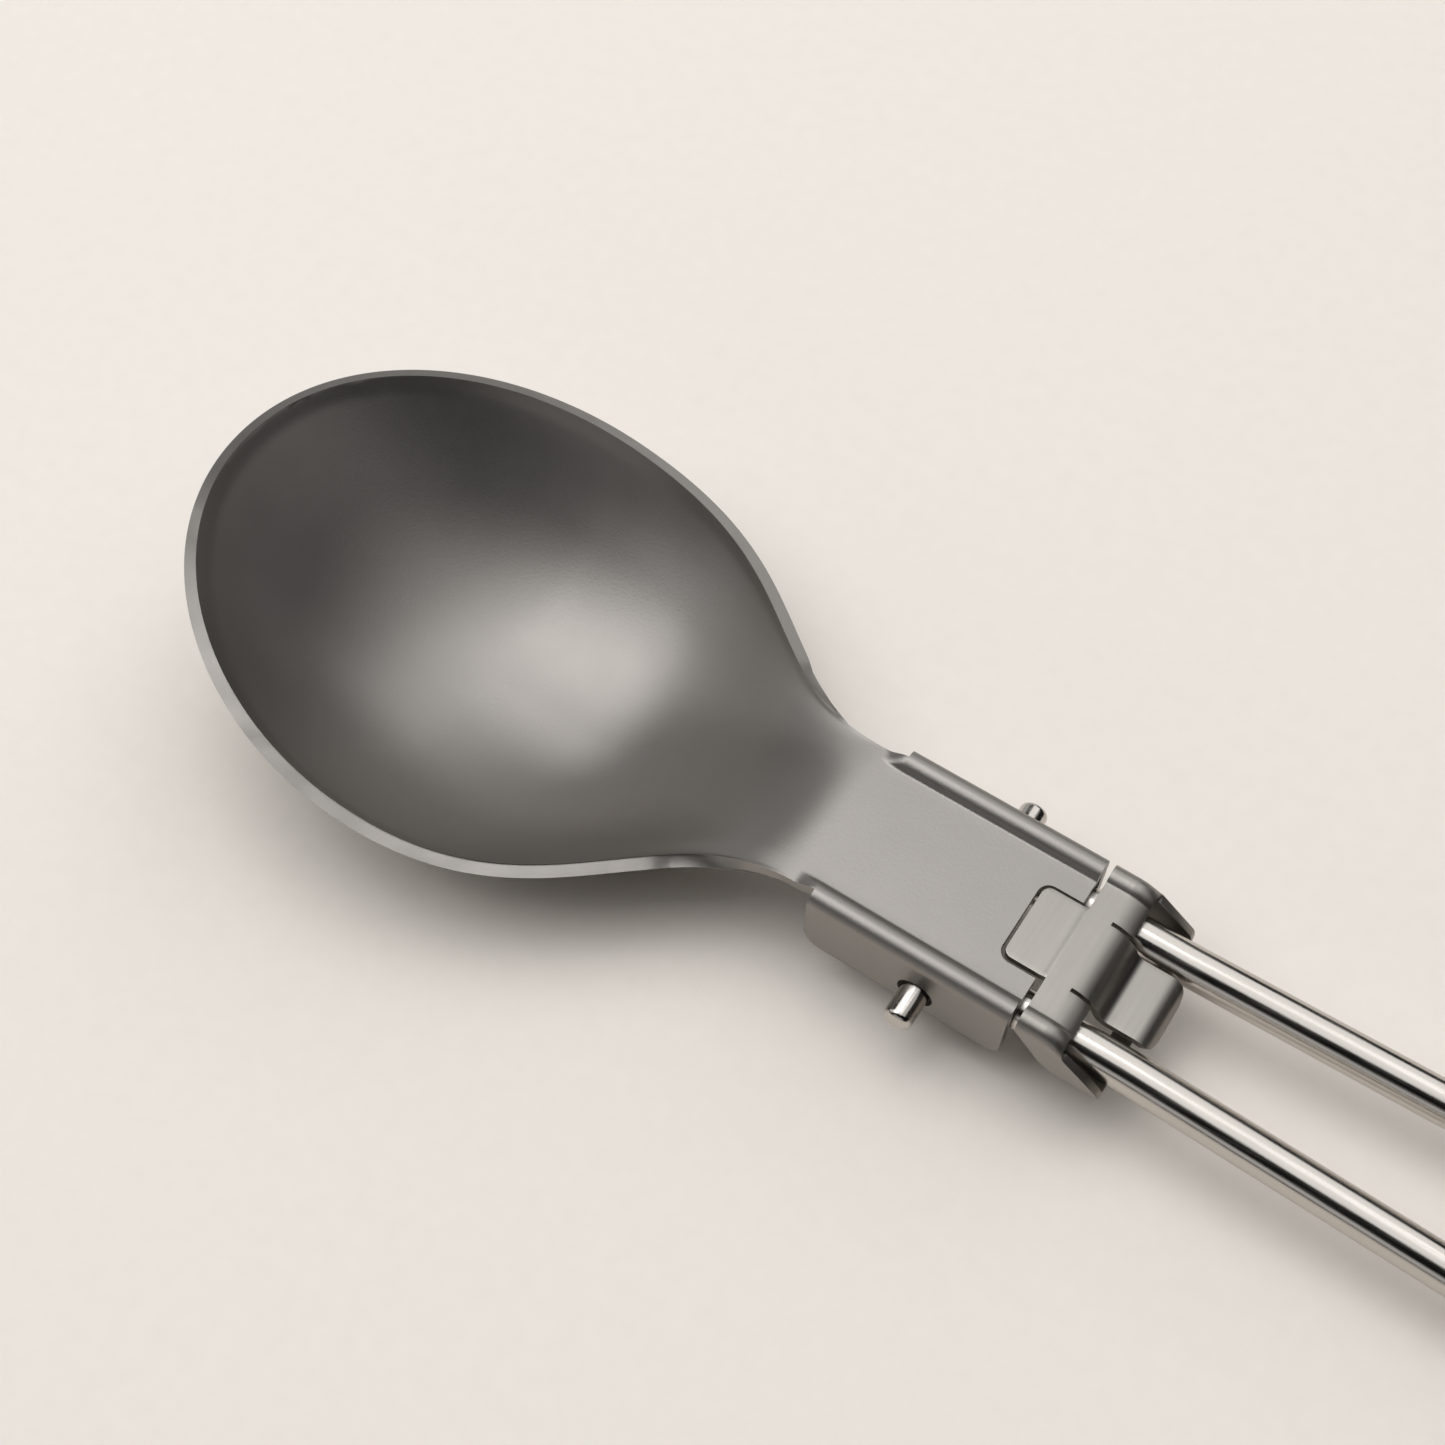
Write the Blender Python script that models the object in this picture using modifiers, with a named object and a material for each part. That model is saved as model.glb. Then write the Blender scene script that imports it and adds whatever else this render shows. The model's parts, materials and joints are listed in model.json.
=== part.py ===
# Folding camping spoon in titanium: a stamped head, a bent wire handle that folds under
# the bowl, and a sliding sleeve on the two rods that locks the handle in line.
#
# Every size is in metres. The spoon is drawn in its own frame, which an empty carries:
# X runs from the bowl's tip to the end of the handle, Y across, Z up from the plate of the
# neck. The origin of that frame is the middle of the pivot, so the handle turns about its Y.

import math

import bmesh
import bpy
import numpy as np
from mathutils import Matrix, Vector

MM = 0.001

# Clearance between pieces that touch on the real spoon, round the rods, and between the
# neck plate's rear edge and the sleeve's band
GAP = 0.3 * MM
ROD_GAP = 0.2 * MM
SLEEVE_GAP = 0.5 * MM

# Head: one sheet, pressed into a bowl, a flat neck plate and two flanges turned down
HEAD_SHEET = 0.9 * MM
BOWL_LENGTH = 51.9 * MM
BOWL_WIDTH = 36.9 * MM
TIP_TO_WIDEST = 21.8 * MM
TIP_TO_FLOOR = 28.0 * MM
FLOOR_RISE = 9.0 * MM
BOWL_DEPTH = 10.0 * MM
TIP_RISE = 5.0 * MM
RIM_DIP = 2.0 * MM
NECK_TO_FLANGE = 1.7 * MM
FLANGE_FRONT = 8.8 * MM
PLATE_REAR = 6.6 * MM
CHANNEL_WIDTH = 14.3 * MM
FLANGE_DROP = 5.4 * MM
FLANGE_FRONT_ROUND = 1.6 * MM
FLANGE_REAR_ROUND = 1.0 * MM
SHOULDER_RISE = 0.65 * MM
SHOULDER_RADIUS = 1.0 * MM
SHOULDER_ANGLE = 60.0
PIVOT_DROP = 3.5 * MM

# Outline of the bowl: how full it is either side of its widest place
TIP_BLUNT_SHARE = 0.57
TIP_FULL_SHARE = 0.53
REAR_FULL_SHARE = 0.56
NECK_FILLET_SHARE = 0.38
RISE_POWER = 2.7
DIP_POWER = 0.75
WALL_POWER = 2.4
CLIMB_POWER = 1.3
CREASE_ANGLE = 35.0
WELD_SHARE = 0.01

# Handle: one round wire
WIRE_DIAMETER = 3.0 * MM
PIN_DIAMETER = 2.1 * MM
PIN_REACH = 2.6 * MM
PIN_DOME = 0.5 * MM
HANDLE_LENGTH = 104.0 * MM
WIRE_BEND = 1.6 * MM
FLARE_ANGLE = 1.4
FLARE_RADIUS = 40.0 * MM

# Sleeve: one sheet, folded round both rods and raked, with a tongue and a thumb tab
SLEEVE_SHEET = 0.6 * MM
BAND_LENGTH = 3.4 * MM
BAND_HEIGHT = 0.3 * MM
FRONT_UPRIGHT = 1.7 * MM
REAR_UPRIGHT = 0.9 * MM
RAKE_ANGLE = 37.0
REAR_LIP = 1.5 * MM
SLEEVE_CORNER = 2.3 * MM
OUTLINE_ROUND = 0.6 * MM
STRIP_STEP = 0.1 * MM
TONGUE_LENGTH = 2.7 * MM
TONGUE_WIDTH = 6.0 * MM
TONGUE_ROUND = 0.6 * MM
TAB_WIDTH = 5.4 * MM
TAB_START = 0.9 * MM
TAB_TOP_RADIUS = 2.2 * MM
TAB_TURN = 72.0
TAB_FOOT_RADIUS = 0.8 * MM
TAB_SHELF = 1.5 * MM
TAB_LIP_RADIUS = 1.5 * MM
TAB_LIP_TURN = 65.0
TAB_LIP_END = 0.3 * MM
TAB_ROUND = 1.2 * MM

# How finely the curved stretches are divided
OVERRUN = 1.0 * MM
ARC_STEP = 15.0
BOWL_RINGS = 12
RIM_STEPS = 16
PLATE_STEPS = 4
FLANGE_STEPS = 4
ROUND_STEPS = 5
HOLE_SIDES = 32
WIRE_RESOLUTION = 6
TILT_HALVINGS = 50

# Sizes that follow from those above
WIRE_RADIUS = WIRE_DIAMETER / 2
PIN_RADIUS = PIN_DIAMETER / 2
PLATE_TOP = PIVOT_DROP
HALF_CHANNEL = CHANNEL_WIDTH / 2
ROD_HEIGHT = PLATE_TOP - HEAD_SHEET - ROD_GAP - WIRE_RADIUS
ROD_OFFSET = HALF_CHANNEL - HEAD_SHEET - ROD_GAP - WIRE_RADIUS
CREST_Y = HALF_CHANNEL - SHOULDER_RADIUS
NECK_X = -FLANGE_FRONT - NECK_TO_FLANGE
TIP_X = NECK_X - BOWL_LENGTH
WIDEST_X = TIP_X + TIP_TO_WIDEST
FLOOR_X = TIP_X + TIP_TO_FLOOR
SLEEVE_FRONT = PLATE_REAR + SLEEVE_GAP
BAND_TOP = PLATE_TOP + BAND_HEIGHT
SLEEVE_BOTTOM = ROD_HEIGHT - WIRE_RADIUS - GAP - SLEEVE_SHEET
STRIP_TOP = BAND_TOP - STRIP_STEP


def material(name, colour, roughness):
    """A bare metal with its colour as seen in the photograph."""
    made = bpy.data.materials.new(name)
    made.use_nodes = True
    shader = made.node_tree.nodes["Principled BSDF"]
    shader.inputs["Base Color"].default_value = (*colour, 1.0)
    shader.inputs["Metallic"].default_value = 1.0
    shader.inputs["Roughness"].default_value = roughness
    return made


def collection(name):
    """A new collection in the scene."""
    made = bpy.data.collections.new(name)
    bpy.context.scene.collection.children.link(made)
    return made


def add_object(name, mesh, group, finish=None):
    """A new object from a mesh, in one of the two collections."""
    made = bpy.data.objects.new(name, mesh)
    group.objects.link(made)
    if finish:
        mesh.materials.append(finish)
    return made


def mesh_from(shape, name):
    """A mesh from an edited shape, with its faces turned outward."""
    bmesh.ops.recalc_face_normals(shape, faces=shape.faces)
    made = bpy.data.meshes.new(name)
    shape.to_mesh(made)
    shape.free()
    return made


def trace(start, heading, moves):
    """Points of a flat path that goes straight and round in turn.

    A move is ("line", length) or ("arc", radius, degrees), positive degrees to the left.
    """
    x, y = start
    angle = math.radians(heading)
    points = [(x, y)]
    for move in moves:
        if move[0] == "line":
            x += move[1] * math.cos(angle)
            y += move[1] * math.sin(angle)
            points.append((x, y))
            continue
        radius, degrees = move[1], move[2]
        steps = max(2, round(abs(degrees) / ARC_STEP))
        turn = math.radians(degrees) / steps
        chord = 2 * radius * math.sin(abs(turn) / 2)
        for _ in range(steps):
            x += chord * math.cos(angle + turn / 2)
            y += chord * math.sin(angle + turn / 2)
            angle += turn
            points.append((x, y))
    return points


def rounded(corners):
    """A closed outline from corners given as two coordinates and a radius."""
    points = []
    for index, (x, z, radius) in enumerate(corners):
        here = Vector((x, z))
        back = (Vector(corners[index - 1][:2]) - here).normalized()
        on = (Vector(corners[(index + 1) % len(corners)][:2]) - here).normalized()
        if radius == 0:
            points.append(here)
            continue
        half = back.angle(on) / 2
        reach = radius / math.tan(half)
        centre = here + (back + on).normalized() * radius / math.sin(half)
        first = here + back * reach - centre
        last = here + on * reach - centre
        steps = max(2, round(math.degrees(first.angle(last)) / ARC_STEP))
        for step in range(steps + 1):
            share = step / steps
            middle = first.lerp(last, share).normalized() * radius
            points.append(centre + middle)
    return points


def prism(outline, along, name):
    """A solid with a flat outline of 3D points, drawn out along a vector."""
    shape = bmesh.new()
    face = shape.faces.new([shape.verts.new(point) for point in outline])
    grown = bmesh.ops.extrude_face_region(shape, geom=[face])
    moved = [item for item in grown["geom"] if isinstance(item, bmesh.types.BMVert)]
    bmesh.ops.translate(shape, verts=moved, vec=along)
    return mesh_from(shape, name)


def swept_sheet(points, along, closed, name):
    """An open sheet: a chain of 3D points moved along a vector."""
    shape = bmesh.new()
    chain = [shape.verts.new(point) for point in points]
    edges = [shape.edges.new(pair) for pair in zip(chain, chain[1:])]
    if closed:
        edges.append(shape.edges.new((chain[-1], chain[0])))
    grown = bmesh.ops.extrude_edge_only(shape, edges=edges)
    moved = [item for item in grown["geom"] if isinstance(item, bmesh.types.BMVert)]
    bmesh.ops.translate(shape, verts=moved, vec=along)
    made = bpy.data.meshes.new(name)
    shape.to_mesh(made)
    shape.free()
    return made


def thicken(piece, thickness):
    """Give an open sheet its thickness, on the side that its faces point away from."""
    solid = piece.modifiers.new("sheet", "SOLIDIFY")
    solid.thickness = thickness
    solid.offset = -1.0
    solid.use_even_offset = True


def combine(piece, other, operation):
    """Cut, join or keep what is common, with a guide solid."""
    step = piece.modifiers.new(other.name, "BOOLEAN")
    step.operation = operation
    step.object = other


def hide_guide(guide):
    """Mark an object as a guide that shapes others."""
    guide.hide_render = True
    guide.display_type = "WIRE"


def smooth(mesh):
    """Smooth shading with real corners kept."""
    mesh.shade_smooth()
    mesh.set_sharp_from_angle(angle=math.radians(CREASE_ANGLE))


def blend(share):
    """A smooth step from 0 to 1."""
    share = min(max(share, 0.0), 1.0)
    return share * share * (3 - 2 * share)


def bezier(points, share):
    """A point of a cubic curve."""
    a, b, c, d = (Vector(point) for point in points)
    rest = 1 - share
    return a * rest**3 + b * 3 * share * rest**2 + c * 3 * share**2 * rest + d * share**3


# The head


def rim_height(x):
    """Height of the bowl's rim: it dips behind the neck and rises to the tip."""
    share = min(max((NECK_X - x) / BOWL_LENGTH, 0.0), 1.0)
    dip = math.sin(math.pi * share**DIP_POWER) ** 2
    return PLATE_TOP + TIP_RISE * share**RISE_POWER - RIM_DIP * dip


def half_rim():
    """The rim's outline on the +Y side, from the neck to the tip, without its first point."""
    half = BOWL_WIDTH / 2
    behind = NECK_X - WIDEST_X
    rear = [
        (NECK_X, CREST_Y),
        (NECK_X - behind * NECK_FILLET_SHARE, CREST_Y),
        (WIDEST_X + behind * REAR_FULL_SHARE, half),
        (WIDEST_X, half),
    ]
    front = [
        (WIDEST_X, half),
        (WIDEST_X - TIP_TO_WIDEST * TIP_FULL_SHARE, half),
        (TIP_X, half * TIP_BLUNT_SHARE),
        (TIP_X, 0),
    ]
    points = [bezier(rear, step / RIM_STEPS) for step in range(1, RIM_STEPS + 1)]
    points += [bezier(front, step / RIM_STEPS) for step in range(1, RIM_STEPS + 1)]
    return points


def half_width(x):
    """Half the bowl's width at a place behind its widest."""
    rear = [Vector((NECK_X, CREST_Y))] + half_rim()[:RIM_STEPS]
    for ahead, behind in zip(rear[1:], rear):
        if x >= ahead.x:
            share = (x - ahead.x) / (behind.x - ahead.x)
            return ahead.lerp(behind, share).y
    return BOWL_WIDTH / 2


def floor_height(x):
    """Height of the bowl's middle line, left to itself: lowest nearer to the neck."""
    if x < FLOOR_X:
        climb = FLOOR_RISE * ((FLOOR_X - x) / (FLOOR_X - TIP_X)) ** 2
    else:
        share = min((x - FLOOR_X) / (NECK_X - FLOOR_X), 1.0)
        climb = BOWL_DEPTH * blend(share**CLIMB_POWER)
    return PLATE_TOP - BOWL_DEPTH + climb


def bowl_height(spot, share):
    """Height of the bowl at a spot that lies this share of the way out to its border.

    Ahead of the widest place the share is taken along a line from there to the border,
    and behind it straight across the bowl.
    """
    if spot.x > WIDEST_X:
        share = min(abs(spot.y) / half_width(spot.x), 1.0)
    lowest = floor_height(spot.x)
    return lowest + (rim_height(spot.x) - lowest) * share**WALL_POWER


def shoulder_section():
    """Half of the neck's section as (y, rise), from the middle to the crest, then outward.

    The plate is flat as far as a crease, rises to a rounded crest and turns down.
    """
    rise_share = 1 - math.cos(math.radians(SHOULDER_ANGLE))
    hollow = SHOULDER_RISE / rise_share - SHOULDER_RADIUS
    run = (hollow + SHOULDER_RADIUS) * math.sin(math.radians(SHOULDER_ANGLE))
    crease = CREST_Y - run
    up = [("arc", hollow, SHOULDER_ANGLE), ("arc", SHOULDER_RADIUS, -SHOULDER_ANGLE)]
    inner = [(crease * step / PLATE_STEPS, 0.0) for step in range(PLATE_STEPS)]
    inner += trace((crease, 0.0), 0.0, up)
    outer = trace(inner[-1], 0.0, [("arc", SHOULDER_RADIUS, -90.0)])[1:]
    return inner, outer


def flange_foot(x):
    """Height of the flange's lower edge, with both lower corners rounded."""
    drop = FLANGE_DROP
    for edge, radius in ((x + FLANGE_FRONT, FLANGE_FRONT_ROUND), (PLATE_REAR - x, FLANGE_REAR_ROUND)):
        inset = radius - min(max(edge, 0.0), radius)
        drop -= radius - math.sqrt(radius**2 - inset**2)
    return PLATE_TOP - drop


def neck_stations():
    """Places along the neck where its section is drawn."""
    steps = range(ROUND_STEPS + 1)
    corner = [1 - math.cos(math.pi / 2 * step / ROUND_STEPS) for step in steps]
    ramp = [NECK_X + NECK_TO_FLANGE * step / ROUND_STEPS for step in range(1, ROUND_STEPS)]
    front = [-FLANGE_FRONT + FLANGE_FRONT_ROUND * share for share in corner]
    rear = [PLATE_REAR - FLANGE_REAR_ROUND * share for share in reversed(corner)]
    return ramp, front + rear


def head_sheet():
    """The upper surface of the whole head as one open sheet.

    The bowl is a set of rings round its floor, the neck a row of sections. They meet in
    the straight line across the neck.
    """
    shape = bmesh.new()
    inner, outer = shoulder_section()
    across = [(-y, rise) for y, rise in reversed(inner[1:])] + inner
    side = half_rim()
    border = [Vector((NECK_X, y)) for y, _ in across]
    border += side + [Vector((place.x, -place.y)) for place in side[-2::-1]]

    middle = Vector((WIDEST_X, 0))
    rings = []
    for ring in range(1, BOWL_RINGS + 1):
        flat = [middle.lerp(place, ring / BOWL_RINGS) for place in border]
        heights = [bowl_height(spot, ring / BOWL_RINGS) for spot in flat]
        rings.append([shape.verts.new((*spot, height)) for spot, height in zip(flat, heights)])
    hub = shape.verts.new((WIDEST_X, 0, floor_height(WIDEST_X)))
    count = len(border)
    for index in range(count):
        after = (index + 1) % count
        shape.faces.new((hub, rings[0][index], rings[0][after]))
        for low, high in zip(rings, rings[1:]):
            shape.faces.new((low[index], high[index], high[after], low[after]))

    ramp, flanged = neck_stations()
    last = rings[-1][: len(across)]
    side_rows = None
    for x in ramp + flanged:
        share = blend((x - NECK_X) / NECK_TO_FLANGE)
        row = [shape.verts.new((x, y, PLATE_TOP + rise * share)) for y, rise in across]
        for index in range(len(row) - 1):
            shape.faces.new((last[index], row[index], row[index + 1], last[index + 1]))
        last = row
        if x in ramp:
            continue
        rows = []
        for edge, sign in ((row[-1], 1), (row[0], -1)):
            turn_end = outer[-1]
            foot = flange_foot(x)
            points = [(y, PLATE_TOP + rise) for y, rise in outer]
            top = PLATE_TOP + turn_end[1]
            for step in range(1, FLANGE_STEPS + 1):
                points.append((turn_end[0], top + (foot - top) * step / FLANGE_STEPS))
            rows.append([edge] + [shape.verts.new((x, sign * y, z)) for y, z in points])
        if side_rows:
            for before, here in zip(side_rows, rows):
                for index in range(len(here) - 1):
                    shape.faces.new((before[index], here[index], here[index + 1], before[index + 1]))
        side_rows = rows
    bmesh.ops.recalc_face_normals(shape, faces=shape.faces)
    shape.faces.ensure_lookup_table()
    shape.normal_update()
    if sum(face.normal.z * face.calc_area() for face in shape.faces) < 0:
        bmesh.ops.reverse_faces(shape, faces=shape.faces)
    made = bpy.data.meshes.new("spoon_head")
    shape.to_mesh(made)
    shape.free()
    return made


def tongue_relief():
    """The notch for the tongue seen from above as (x, y): the tongue grown by the gap."""
    front = PLATE_REAR - TONGUE_LENGTH - GAP
    rear = SLEEVE_FRONT + GAP
    half = TONGUE_WIDTH / 2 + GAP
    radius = TONGUE_ROUND + GAP
    return rounded([(front, half, radius), (rear, half, 0), (rear, -half, 0), (front, -half, radius)])


def build_head(parts, guides, finish):
    """Bowl, neck plate and flanges, with the pivot holes and the relief for the tongue."""
    head = add_object("spoon_head", head_sheet(), parts, finish)
    thicken(head, HEAD_SHEET)

    shape = bmesh.new()
    radius = PIN_RADIUS + GAP
    turn = Matrix.Rotation(math.pi / 2, 4, "X")
    bmesh.ops.create_cone(
        shape, cap_ends=True, segments=HOLE_SIDES, radius1=radius, radius2=radius,
        depth=CHANNEL_WIDTH + 2 * OVERRUN, matrix=turn,
    )
    hole = add_object("pivot_hole", mesh_from(shape, "pivot_hole"), guides)

    low = PLATE_TOP - HEAD_SHEET - OVERRUN
    notch = [(x, y, low) for x, y in tongue_relief()]
    notch = prism(notch, (0, 0, HEAD_SHEET + 2 * OVERRUN), "tongue_relief")
    relief = add_object("tongue_relief", notch, guides)

    for guide in (hole, relief):
        hide_guide(guide)
        combine(head, guide, "DIFFERENCE")
    smooth(head.data)
    return head


# The handle


def wire_path():
    """Half of the wire's centre line on the +Y side, from the pin's tip to the loop's end.

    Each point is (x, y, z, radius share). The pin lies on the pivot, the rod climbs to
    just under the plate, runs straight through the sleeve and then flares gently.
    """
    pin_share = PIN_RADIUS / WIRE_RADIUS
    tip = HALF_CHANNEL + PIN_REACH
    points = [(0.0, tip, 0.0, (PIN_RADIUS - PIN_DOME) / WIRE_RADIUS)]
    for step in range(1, ROUND_STEPS + 1):
        angle = math.pi / 2 * step / ROUND_STEPS
        back = PIN_DOME * (1 - math.cos(angle))
        radius = PIN_RADIUS - PIN_DOME * (1 - math.sin(angle))
        points.append((0.0, tip - back, 0.0, radius / WIRE_RADIUS))
    turn = trace((ROD_OFFSET + WIRE_BEND, 0.0), 180.0, [("arc", WIRE_BEND, -90.0)])
    points += [(x, y, 0.0, pin_share if index == 0 else 1.0) for index, (y, x) in enumerate(turn)]
    return points


def wire_points():
    """The whole centre line, from the pin at +Y round the loop to the pin at -Y."""
    half = wire_path()
    level = SLEEVE_FRONT - GAP
    half.append((level, ROD_OFFSET, ROD_HEIGHT, 1.0))
    straight_end = sleeve_end()
    flare = math.radians(FLARE_ANGLE)
    run = trace((straight_end, ROD_OFFSET), 0.0, [("arc", FLARE_RADIUS, FLARE_ANGLE)])
    half += [(x, y, ROD_HEIGHT, 1.0) for x, y in run]
    far_x, far_y = run[-1]
    end = HANDLE_LENGTH - WIRE_RADIUS
    spread = math.cos(flare) + math.tan(flare) * (1 + math.sin(flare))
    loop = (far_y + (end - far_x) * math.tan(flare)) / spread
    start = 90.0 + FLARE_ANGLE
    steps = round(start / ARC_STEP)
    for step in range(steps + 1):
        angle = math.radians(start * (1 - step / steps))
        x = end - loop + loop * math.cos(angle)
        half.append((x, loop * math.sin(angle), ROD_HEIGHT, 1.0))
    return half + [(x, -y, z, share) for x, y, z, share in reversed(half[:-1])]


def build_handle(parts, finish):
    """The wire as a curve with a round section, made into a mesh."""
    points = wire_points()
    curve = bpy.data.curves.new("wire", "CURVE")
    curve.dimensions = "3D"
    curve.bevel_depth = WIRE_RADIUS
    curve.bevel_resolution = WIRE_RESOLUTION
    curve.use_fill_caps = True
    spline = curve.splines.new("POLY")
    spline.points.add(len(points) - 1)
    for spot, (x, y, z, share) in zip(spline.points, points):
        spot.co = (x, y, z, 1.0)
        spot.radius = share
    wire = bpy.data.objects.new("wire", curve)
    parts.objects.link(wire)
    graph = bpy.context.evaluated_depsgraph_get()
    mesh = bpy.data.meshes.new_from_object(wire.evaluated_get(graph))
    bpy.data.objects.remove(wire)
    shape = bmesh.new()
    shape.from_mesh(mesh)
    bmesh.ops.remove_doubles(shape, verts=shape.verts, dist=GAP * WELD_SHARE)
    bmesh.ops.recalc_face_normals(shape, faces=shape.faces)
    shape.to_mesh(mesh)
    shape.free()
    mesh.name = "wire_handle"
    handle = add_object("wire_handle", mesh, parts, finish)
    smooth(mesh)
    return handle


# The sleeve


def sleeve_section():
    """Half of the sleeve's outer section as (y, z), from the middle of its foot upward.

    Its shoulders follow those of the neck, and its top lies a little above the plate.
    """
    crest = PLATE_TOP + SHOULDER_RISE
    drop = math.degrees(math.acos(1 - (crest - BAND_TOP) / (SHOULDER_RADIUS + GAP)))
    upright = crest - SHOULDER_RADIUS - SLEEVE_CORNER - SLEEVE_BOTTOM
    return trace((0.0, SLEEVE_BOTTOM), 0.0, [
        ("line", HALF_CHANNEL - SLEEVE_CORNER),
        ("arc", SLEEVE_CORNER, 90.0),
        ("line", upright),
        ("arc", SHOULDER_RADIUS, 90.0 + drop),
        ("arc", GAP, -drop),
    ])


def sleeve_outline():
    """The sleeve's side view: a band raked backward, upright at its top edges."""
    slope = math.tan(math.radians(RAKE_ANGLE))
    high = PLATE_TOP + SHOULDER_RISE + OVERRUN
    low = SLEEVE_BOTTOM - OVERRUN
    front = SLEEVE_FRONT
    rear = front + BAND_LENGTH
    front_turn = PLATE_TOP - FRONT_UPRIGHT + SHOULDER_RISE
    rear_turn = PLATE_TOP - REAR_UPRIGHT + SHOULDER_RISE
    lip = sleeve_end()
    lip_top = rear_turn - (lip - rear) * slope
    return rounded([
        (front, high, 0),
        (front, front_turn, OUTLINE_ROUND),
        (front + (front_turn - low) / slope, low, 0),
        (lip, low, 0),
        (lip, lip_top, OUTLINE_ROUND),
        (rear, rear_turn, OUTLINE_ROUND),
        (rear, high, 0),
    ])


def sleeve_end():
    """Place of the sleeve's rear end, at its foot."""
    slope = math.tan(math.radians(RAKE_ANGLE))
    front_turn = PLATE_TOP - FRONT_UPRIGHT + SHOULDER_RISE
    foot = SLEEVE_FRONT + (front_turn - SLEEVE_BOTTOM) / slope
    return foot + REAR_LIP


def strip_path():
    """Side view of the strip in the middle: tongue, band, and the tab behind it."""
    start = (PLATE_REAR - TONGUE_LENGTH, STRIP_TOP)
    flat = SLEEVE_FRONT + BAND_LENGTH - TAB_START - start[0]
    return trace(start, 0.0, [
        ("line", flat),
        ("arc", TAB_TOP_RADIUS, -TAB_TURN),
        ("arc", TAB_FOOT_RADIUS, TAB_TURN),
        ("line", TAB_SHELF),
        ("arc", TAB_LIP_RADIUS, -TAB_LIP_TURN),
        ("line", TAB_LIP_END),
    ])


def strip_outline():
    """The strip seen from above: the tongue ahead of the band and the tab behind it."""
    front = PLATE_REAR - TONGUE_LENGTH
    rear = strip_path()[-1][0]
    step = SLEEVE_FRONT + BAND_LENGTH / 2
    tongue = TONGUE_WIDTH / 2
    tab = TAB_WIDTH / 2
    half = [
        (front, tongue, TONGUE_ROUND),
        (step, tongue, 0),
        (step, tab, 0),
        (rear, tab, TAB_ROUND),
    ]
    return rounded(half + [(x, -y, radius) for x, y, radius in reversed(half)])


def build_sleeve(parts, guides, finish):
    """The raked band round both rods, joined to the strip with the tongue and the tab."""
    half = sleeve_section()
    ring = half + [(-y, z) for y, z in reversed(half[1:])]
    back = SLEEVE_FRONT - OVERRUN
    reach = sleeve_end() + OVERRUN - back
    loop = swept_sheet([(back, y, z) for y, z in ring], (reach, 0, 0), True, "sleeve")
    sleeve = add_object("locking_sleeve", loop, parts, finish)
    face_out(loop, Vector((back + reach / 2, 0, ROD_HEIGHT)))
    thicken(sleeve, SLEEVE_SHEET)

    wide = HALF_CHANNEL + OVERRUN
    side_view = prism([(x, -wide, z) for x, z in sleeve_outline()], (0, 2 * wide, 0), "side_view")
    outline = add_object("sleeve_outline", side_view, guides)
    combine(sleeve, outline, "INTERSECT")

    half_strip = TAB_WIDTH / 2 + OVERRUN
    path = [(x, -half_strip, z) for x, z in strip_path()]
    sheet = swept_sheet(path, (0, 2 * half_strip, 0), False, "strip")
    face_up(sheet)
    strip = add_object("strip", sheet, guides)
    thicken(strip, SLEEVE_SHEET)
    plan = [(x, y, SLEEVE_BOTTOM) for x, y in strip_outline()]
    plan = prism(plan, (0, 0, BAND_TOP + OVERRUN - SLEEVE_BOTTOM), "strip_plan")
    trim = add_object("strip_plan", plan, guides)
    combine(strip, trim, "INTERSECT")
    combine(sleeve, strip, "UNION")
    for guide in (outline, strip, trim):
        hide_guide(guide)
    smooth(loop)
    return sleeve


def face_out(mesh, centre):
    """Turn a ring's faces away from a point inside it."""
    shape = bmesh.new()
    shape.from_mesh(mesh)
    bmesh.ops.recalc_face_normals(shape, faces=shape.faces)
    inward = 0.0
    for face in shape.faces:
        away = face.calc_center_median() - centre
        away.x = 0
        inward -= face.normal.dot(away)
    if inward > 0:
        bmesh.ops.reverse_faces(shape, faces=shape.faces)
    shape.to_mesh(mesh)
    shape.free()


def face_up(mesh):
    """Turn a sheet's faces upward."""
    shape = bmesh.new()
    shape.from_mesh(mesh)
    bmesh.ops.recalc_face_normals(shape, faces=shape.faces)
    if sum(face.normal.z for face in shape.faces) < 0:
        bmesh.ops.reverse_faces(shape, faces=shape.faces)
    shape.to_mesh(mesh)
    shape.free()


# Placing


def corner_points(piece):
    """The finished piece's points in the spoon's own frame."""
    graph = bpy.context.evaluated_depsgraph_get()
    mesh = piece.evaluated_get(graph).to_mesh()
    flat = np.empty(len(mesh.vertices) * 3)
    mesh.vertices.foreach_get("co", flat)
    piece.evaluated_get(graph).to_mesh_clear()
    return flat.reshape(-1, 3)


def settle(frame, head, handle):
    """Lay the spoon on its bowl and on the end of its handle.

    The frame tilts until both are equally low, then moves so that the middle of the
    spoon's box stands over the world's origin with its lowest point at height zero.
    """
    head_points = corner_points(head)
    handle_points = corner_points(handle)
    low, high = -math.pi / 4, math.pi / 4

    def height(points, tilt):
        return points[:, 2] * math.cos(tilt) - points[:, 0] * math.sin(tilt)

    for _ in range(TILT_HALVINGS):
        tilt = (low + high) / 2
        if height(handle_points, tilt).min() > height(head_points, tilt).min():
            low = tilt
        else:
            high = tilt
    both = np.vstack([head_points, handle_points])
    along = both[:, 0] * math.cos(tilt) + both[:, 2] * math.sin(tilt)
    frame.rotation_euler = (0, tilt, 0)
    middle = (along.min() + along.max()) / 2
    frame.location = (-middle, 0, -height(both, tilt).min())


for old in list(bpy.data.objects):
    bpy.data.objects.remove(old)

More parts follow.
